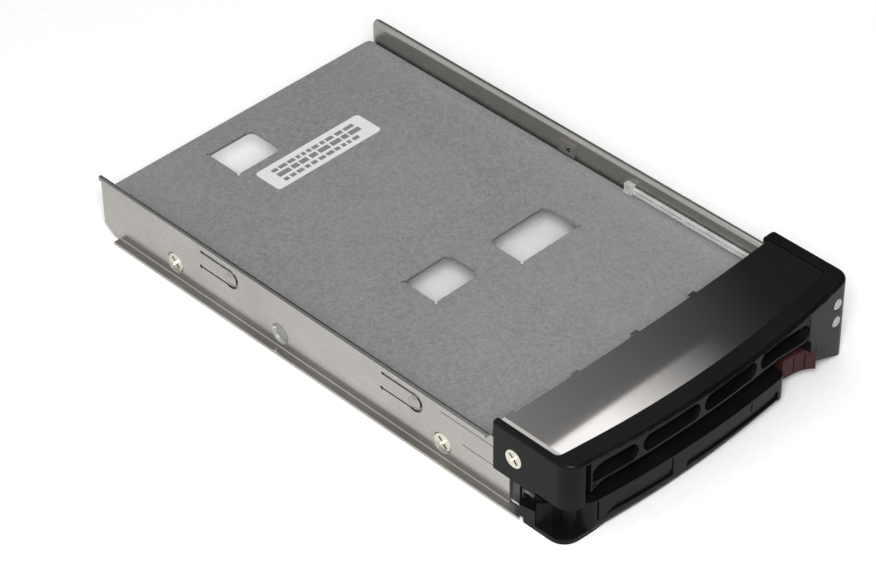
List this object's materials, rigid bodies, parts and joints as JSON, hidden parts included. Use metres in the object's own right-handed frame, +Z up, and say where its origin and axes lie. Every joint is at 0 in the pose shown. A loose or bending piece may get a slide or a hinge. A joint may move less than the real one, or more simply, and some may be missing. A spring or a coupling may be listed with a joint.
{
  "type": "hot-swap hard drive tray",
  "caption": "Hot-swap hard drive tray with steel side rails, a converter plate floor, a plastic front bezel with an air grille, a swing-out latch lever and a release button.",
  "frame": {"origin": "bottom centre of the whole tray's bounding box, on the undersides of the rail flanges", "axes": "+Z up, -Y towards the bezel's front, +Y towards the connector end, +X towards the release button's side"},
  "size_m": [0.1072, 0.181, 0.0254],
  "materials": {
    "rail_steel": "satin stainless sheet",
    "zinc_steel": "zinc-plated sheet with a fine speckle",
    "screw_steel": "nickel-plated",
    "pin_steel": "ground steel",
    "polished_steel": "polished stainless sheet",
    "black_plastic": "satin black moulding",
    "lever_plastic": "satin black moulding",
    "maroon_plastic": "dark maroon moulding",
    "clear_plastic": "clear moulding",
    "label_film": "white printed film"
  },
  "bodies": {
    "tray": {"left_rail": "rail_steel", "right_rail": "rail_steel", "converter_plate": "zinc_steel", "front_bracket": "zinc_steel", "rail_screws": "screw_steel", "bezel_screws": "screw_steel", "clinch_nuts": "screw_steel", "bezel": "black_plastic", "bezel_cover": "polished_steel", "lever_pin": "pin_steel", "pin_clip": "pin_steel", "lever_spring": "pin_steel", "button_spring": "pin_steel", "button_carrier": "black_plastic", "light_pipe_lower": "clear_plastic", "light_pipe_upper": "clear_plastic", "light_pipe_clip": "clear_plastic", "label": "label_film"},
    "latch_lever": {"lever": "lever_plastic"},
    "button": {"release_button": "maroon_plastic"}
  },
  "joints": [
    {"name": "lever_swing", "type": "hinge", "parent": "tray", "child": "latch_lever", "pos_m": [-0.0458, -0.0807, 0.005], "axis": [0, 0, -1], "range_deg": [0, 75]},
    {"name": "button_press", "type": "slide", "parent": "tray", "child": "button", "axis": [0, 1, 0], "range_m": [0, 0.0025], "stiffness_N_per_m": 300, "springref_m": -0.002, "deforming": ["button_spring"]}
  ]
}
